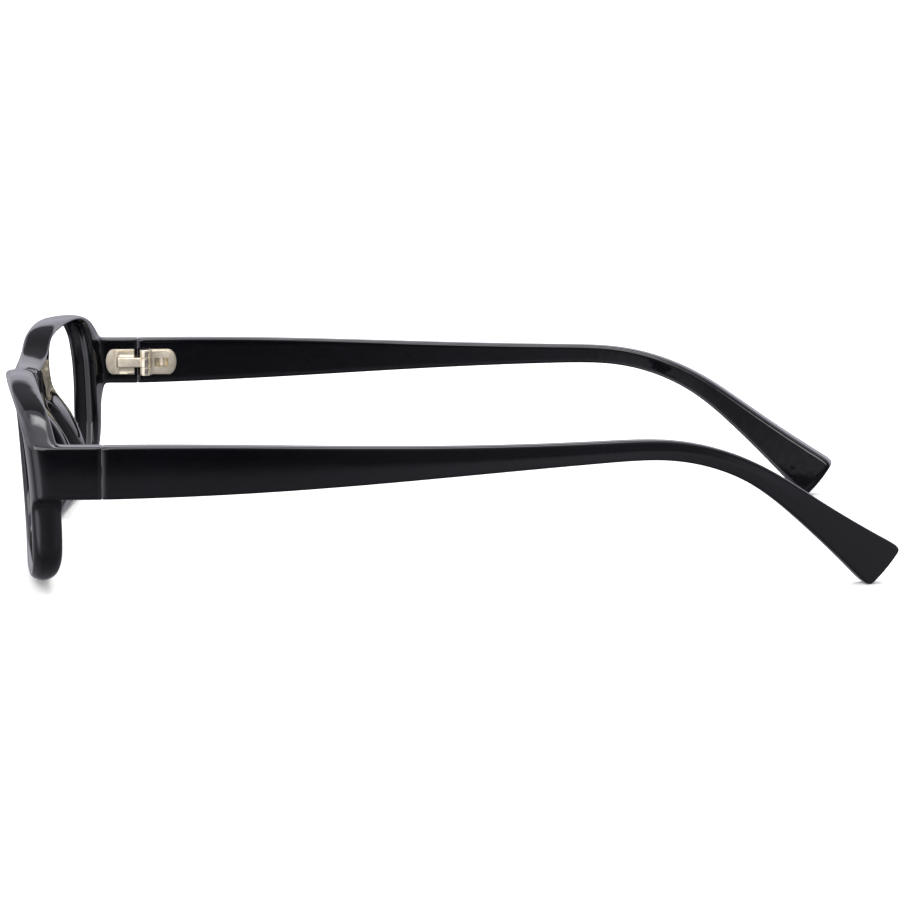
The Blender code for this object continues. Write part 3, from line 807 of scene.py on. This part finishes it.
def make_temple_leaf(name, side, finish):
    """A two-step plate with a window and a bent tab in it, and the two outer knuckles."""
    flange = round_nosed(TEMPLE_LEAF_FRONT, TEMPLE_LEAF_TAIL, HALF_HINGE, NOSE_STEPS)
    plate = plate_solid(side, flange, -LEAF_SET_IN, FLANGE_PROUD, FINE_EDGE)
    leaf = new_object("hinge_temple_leaf_%s_fine" % name, plate)
    step = round_nosed(STEP_START, TEMPLE_LEAF_TAIL - STEP_WIDTH, HALF_HINGE - STEP_TRIM, NOSE_STEPS)
    cut(leaf, "UNION", plate_solid(side, step, UPPER_PLATE_BASE, BLOCK_PROUD, 1.5 * FINE_EDGE))
    inner = CENTRE_BARREL_HEIGHT / 2 + BARREL_GAP
    for low, high in ((-HALF_HINGE, -inner), (inner, HALF_HINGE)):
        cut(leaf, "UNION", knuckle_foot(side, low, high))
        cut(leaf, "UNION", knuckle(side, low, high))
    outer_border, inner_border = OUTER_RECESS_BORDERS
    cut_recess(leaf, side, -HALF_HINGE + outer_border, -inner - inner_border)
    cut_recess(leaf, side, inner + inner_border, HALF_HINGE - outer_border)
    half = WINDOW_HEIGHT / 2
    window = rectangle(WINDOW_START, WINDOW_START + WINDOW_LENGTH, -half, half)
    cut(leaf, "DIFFERENCE", slab(side, window, WINDOW_FLOOR, CUTTER_TOP))
    cut(leaf, "UNION", pillar(side, tab_outline(), -half + TAB_SIDE_GAP, half - TAB_SIDE_GAP))
    cut(leaf, "DIFFERENCE", barrel(side, BARREL_RADIUS + KNUCKLE_ROOM, -inner, inner, KNUCKLE_SIDES))
    top = HALF_HINGE + OVERSHOOT
    cut(leaf, "DIFFERENCE", barrel(side, BORE_RADIUS, -HALF_HINGE - OVERSHOOT, top, KNUCKLE_SIDES))
    head_seat = HALF_HINGE - SCREW_HEAD_HEIGHT
    cut(leaf, "DIFFERENCE", barrel(side, SCREW_HEAD_RADIUS + HEAD_ROOM, head_seat, top, KNUCKLE_SIDES))
    smooth_by_angle(leaf, METAL_SHARP_ANGLE)
    return dressed(leaf, finish, name + "_temple", "hinge_nickel", "hinge_temple_leaf_" + name)


def knuckle_foot(side, low, high):
    """The sloping web that joins an outer knuckle to its plate."""
    outline = [
        (PIN_INBOARD - FOOT_LENGTH, PIN_Y),
        (PIN_INBOARD - FOOT_INSET, PIN_Y),
        (BLOCK_PROUD, PIN_Y + FOOT_LENGTH),
        (PIN_INBOARD - FOOT_LENGTH, PIN_Y + FOOT_LENGTH),
    ]
    return pillar(side, outline, low + FOOT_TRIM_EACH_END, high - FOOT_TRIM_EACH_END)


def tab_outline():
    """The bent tab in the window: an arc that rises from the window's floor and comes down again."""
    outline = [(TAB_BASE, TAB_START)]
    for k in range(TAB_STEPS + 1):
        share = k / TAB_STEPS
        height = TAB_RISE * math.sin(math.pi * (TAB_ARC_START + TAB_ARC_SHARE * share))
        outline.append((WINDOW_FLOOR + height, TAB_START + TAB_LENGTH * share))
    outline.append((TAB_BASE, TAB_END))
    return outline


def make_screw(name, side, finish):
    shank_ends = (-HALF_HINGE + SHANK_BOTTOM_GAP, HALF_HINGE - SHANK_TOP_GAP)
    shank = barrel(side, SCREW_RADIUS, *shank_ends, KNUCKLE_SIDES)
    screw = new_object("hinge_screw_%s_fine" % name, shank)
    base = HALF_HINGE - SCREW_HEAD_HEIGHT + SCREW_HEAD_RISE
    top = base + SCREW_HEAD_HEIGHT - SCREW_HEAD_TRIM
    head = barrel(side, SCREW_HEAD_RADIUS, base, top, KNUCKLE_SIDES)
    bmesh.ops.recalc_face_normals(head, faces=head.faces)
    round_edges(head, level_edges(head), 1.5 * FINE_EDGE)
    cut(screw, "UNION", head)
    slot_ends = (PIN_Y - 2 * OVERSHOOT, PIN_Y + 2 * OVERSHOOT)
    slot = rectangle(*slot_ends, top - SLOT_DEPTH, top + OVERSHOOT)
    slot_sides = (PIN_INBOARD - SLOT_HALF_WIDTH, PIN_INBOARD + SLOT_HALF_WIDTH)
    cut(screw, "DIFFERENCE", slab(side, slot, *slot_sides))
    smooth_by_angle(screw, METAL_SHARP_ANGLE)
    return dressed(screw, finish, name + "_temple", "screw_steel", "hinge_screw_" + name)


# ---------------------------------------------------------------- materials


def node_material(name):
    made = bpy.data.materials.new(name)
    made.use_nodes = True
    return made, made.node_tree.nodes, made.node_tree.links, made.node_tree.nodes["Principled BSDF"]


def noise(nodes, links, vector, scale, detail=2.0, roughness=0.5):
    node = nodes.new("ShaderNodeTexNoise")
    node.inputs["Scale"].default_value = scale
    node.inputs["Detail"].default_value = detail
    node.inputs["Roughness"].default_value = roughness
    links.new(vector, node.inputs["Vector"])
    return node.outputs["Fac"]


def ramp(nodes, links, value, *stops):
    """A colour ramp from (position, grey or colour) stops."""
    node = nodes.new("ShaderNodeValToRGB")
    elements = node.color_ramp.elements
    while len(elements) < len(stops):
        elements.new(0.5)
    for element, (position, tone) in zip(elements, stops):
        element.position = position
        element.color = (*tone, 1.0) if isinstance(tone, tuple) else (tone, tone, tone, 1.0)
    links.new(value, node.inputs["Fac"])
    return node.outputs["Color"]


def stretched(nodes, links, scale):
    """Object coordinates, scaled differently along each axis."""
    place = nodes.new("ShaderNodeTexCoord")
    mapping = nodes.new("ShaderNodeMapping")
    mapping.inputs["Scale"].default_value = scale
    links.new(place.outputs["Object"], mapping.inputs["Vector"])
    return mapping.outputs["Vector"]


def bump(nodes, links, height, strength, distance, below=None):
    node = nodes.new("ShaderNodeBump")
    node.inputs["Strength"].default_value = strength
    node.inputs["Distance"].default_value = distance
    links.new(height, node.inputs["Height"])
    if below:
        links.new(below, node.inputs["Normal"])
    return node.outputs["Normal"]


def acetate():
    """Polished blue-black plastic: a deep body colour, faint mottling, haze, orange peel and hairline marks."""
    made, nodes, links, shader = node_material("polished_acetate")
    place = stretched(nodes, links, (1, 1, 1))
    mottle = noise(nodes, links, place, MOTTLE_SCALE, 4.0)
    body = ramp(nodes, links, mottle, (0.3, ACETATE_DARK), (0.7, ACETATE_LIGHT))
    links.new(body, shader.inputs["Base Color"])
    haze = noise(nodes, links, place, HAZE_SCALE, 6.0, 0.65)
    clearest, haziest = HAZE_ROUGHNESS
    links.new(ramp(nodes, links, haze, (0.35, clearest), (0.75, haziest)), shader.inputs["Roughness"])
    shader.inputs["IOR"].default_value = ACETATE_IOR
    peel = noise(nodes, links, place, PEEL_SCALE, 1.0)
    marks = noise(nodes, links, stretched(nodes, links, HAIRLINE_STRETCH), 1.0, 2.0)
    normal = bump(nodes, links, peel, *PEEL_RELIEF)
    hairlines = ramp(nodes, links, marks, (0.62, 0.0), (0.75, 1.0))
    normal = bump(nodes, links, hairlines, *HAIRLINE_RELIEF, normal)
    links.new(normal, shader.inputs["Normal"])
    return made


def brushed_metal(name, tones, roughness, grain, strength):
    """Metal with a directional grain and slightly uneven polish."""
    made, nodes, links, shader = node_material(name)
    shader.inputs["Metallic"].default_value = 1.0
    place = stretched(nodes, links, (1, 1, 1))
    tone = noise(nodes, links, place, METAL_TONE_SCALE, 4.0)
    links.new(ramp(nodes, links, tone, (0.3, tones[0]), (0.72, tones[1])), shader.inputs["Base Color"])
    lines = noise(nodes, links, stretched(nodes, links, grain), 1.0, 3.0, 0.6)
    polish = ramp(nodes, links, lines, (0.25, roughness[0]), (0.75, roughness[1]))
    links.new(polish, shader.inputs["Roughness"])
    links.new(bump(nodes, links, lines, strength, METAL_GRAIN_DEPTH), shader.inputs["Normal"])
    return made


# ---------------------------------------------------------------- studio


def area_light(name, location, target, width, power):
    """A square softbox at one point, turned to face another."""
    data = bpy.data.lights.new(name, "AREA")
    data.shape = "RECTANGLE"
    data.size, data.size_y = width, width
    data.energy = power
    light = bpy.data.objects.new(name, data)
    light.location = location
    light.rotation_euler = (Vector(target) - Vector(location)).to_track_quat("-Z", "Y").to_euler()
    bpy.context.scene.collection.objects.link(light)


def make_floor():
    mesh = bmesh.new()
    bmesh.ops.create_grid(mesh, x_segments=1, y_segments=1, size=FLOOR_HALF_WIDTH)
    floor = new_object("studio_floor", mesh)
    made, nodes, links, shader = node_material("studio_floor")
    shader.inputs["Base Color"].default_value = FLOOR_COLOUR
    shader.inputs["Roughness"].default_value = FLOOR_ROUGHNESS
    shader.inputs["Specular IOR Level"].default_value = 0.0
    floor.data.materials.append(made)
    floor.visible_glossy = False


def make_world():
    """A white studio for the eye. The gloss sees a tent with bright flanks and a dim card behind the frame."""
    world = bpy.data.worlds.new("studio")
    bpy.context.scene.world = world
    world.use_nodes = True
    nodes, links = world.node_tree.nodes, world.node_tree.links
    nodes.clear()
    place = nodes.new("ShaderNodeTexCoord")
    parts = nodes.new("ShaderNodeSeparateXYZ")
    links.new(place.outputs["Generated"], parts.inputs["Vector"])
    height = rise(nodes, links, parts.outputs["Z"])
    behind = ramp(nodes, links, height, *cooled(BEHIND_STOPS))
    in_front = ramp(nodes, links, height, *cooled(IN_FRONT_STOPS))
    aside = ramp(nodes, links, rise(nodes, links, parts.outputs["Y"]), *cooled(ASIDE_STOPS))
    in_front = mixed(nodes, links, None, in_front, aside, "ADD")
    flank = ramp(nodes, links, height, *cooled(FLANK_STOPS))
    forwardness = ramp(nodes, links, rise(nodes, links, parts.outputs["X"]), *FORWARD_STOPS)
    sideways = nodes.new("ShaderNodeMath")
    sideways.operation = "ABSOLUTE"
    links.new(parts.outputs["Y"], sideways.inputs[0])
    sidewardness = ramp(nodes, links, sideways.outputs[0], *SIDEWARD_STOPS)
    back_half = mixed(nodes, links, sidewardness, behind, flank)
    reflected = nodes.new("ShaderNodeBackground")
    reflected.inputs["Strength"].default_value = REFLECTED_STRENGTH
    links.new(mixed(nodes, links, forwardness, back_half, in_front), reflected.inputs["Color"])
    white = nodes.new("ShaderNodeBackground")
    white.inputs["Color"].default_value = (1, 1, 1, 1)
    white.inputs["Strength"].default_value = SURROUND_STRENGTH
    rays = nodes.new("ShaderNodeLightPath")
    seen = nodes.new("ShaderNodeMixShader")
    links.new(rays.outputs["Is Glossy Ray"], seen.inputs[0])
    links.new(white.outputs["Background"], seen.inputs[1])
    links.new(reflected.outputs["Background"], seen.inputs[2])
    output = nodes.new("ShaderNodeOutputWorld")
    links.new(seen.outputs["Shader"], output.inputs["Surface"])


def cooled(stops):
    """Daylight-tinted colours from grey ramp stops."""
    return [(position, tuple(tone * tint for tint in DAYLIGHT)) for position, tone in stops]


def mixed(nodes, links, factor, first, second, blend="MIX"):
    """Two colours mixed. Without a factor the blend is full."""
    node = nodes.new("ShaderNodeMix")
    node.data_type = "RGBA"
    node.blend_type = blend
    node.inputs["Factor"].default_value = 1.0
    if factor:
        links.new(factor, node.inputs["Factor"])
    colours = [socket for socket in node.inputs if socket.type == "RGBA"]
    links.new(first, colours[0])
    links.new(second, colours[1])
    return [socket for socket in node.outputs if socket.type == "RGBA"][0]


def rise(nodes, links, value):
    """Maps -1..1 on to 0..1 for a colour ramp."""
    node = nodes.new("ShaderNodeMapRange")
    node.inputs["From Min"].default_value = -1.0
    node.inputs["From Max"].default_value = 1.0
    links.new(value, node.inputs["Value"])
    return node.outputs["Result"]


def make_camera():
    data = bpy.data.cameras.new("camera")
    data.sensor_width = 36.0
    data.lens = CAMERA_LENS
    data.clip_start = 0.01
    data.clip_end = 200.0
    camera = bpy.data.objects.new("camera", data)
    bpy.context.scene.collection.objects.link(camera)
    forward = Vector((
        -math.cos(CAMERA_YAW) * math.cos(CAMERA_PITCH),
        math.sin(CAMERA_YAW) * math.cos(CAMERA_PITCH),
        -math.sin(CAMERA_PITCH),
    ))
    level = Vector((math.sin(CAMERA_YAW), math.cos(CAMERA_YAW), 0))
    up = level.cross(forward)
    right = math.cos(CAMERA_ROLL) * level + math.sin(CAMERA_ROLL) * up
    up = math.cos(CAMERA_ROLL) * up - math.sin(CAMERA_ROLL) * level
    camera.matrix_world = Matrix((
        (right.x, up.x, -forward.x, CAMERA_LOCATION[0]),
        (right.y, up.y, -forward.y, CAMERA_LOCATION[1]),
        (right.z, up.z, -forward.z, CAMERA_LOCATION[2]),
        (0, 0, 0, 1),
    ))
    bpy.context.scene.camera = camera


def make_lights():
    for width in TOP_LIGHT_WIDTHS:
        power = TOP_LIGHT_RADIANCE * math.pi * width * width
        place = (*TOP_LIGHT_PLACE, TOP_LIGHT_HEIGHT + width / 10)
        area_light("top_softbox_%d" % (100 * width), place, TOP_LIGHT_TARGET, width, power)
    area_light("hinge_softbox", HINGE_LIGHT_PLACE, HINGE_LIGHT_TARGET, HINGE_LIGHT_WIDTH, HINGE_LIGHT_POWER)


def main():
    plastic = acetate()
    nickel = brushed_metal("nickel_silver", *NICKEL)
    steel = brushed_metal("turned_steel", *STEEL)
    make_front(plastic)
    for name, side in SIDES.items():
        make_temple(name, side, plastic)
        make_front_leaf(name, side, nickel)
        make_temple_leaf(name, side, nickel)
        make_screw(name, side, steel)
        wire = frame["nodes"]["temple_core_wire_" + name]
        wire.data.materials.clear()
        wire.data.materials.append(steel)
    make_floor()
    make_world()
    make_lights()
    make_camera()
    bpy.context.scene.view_settings.view_transform = "Standard"


main()
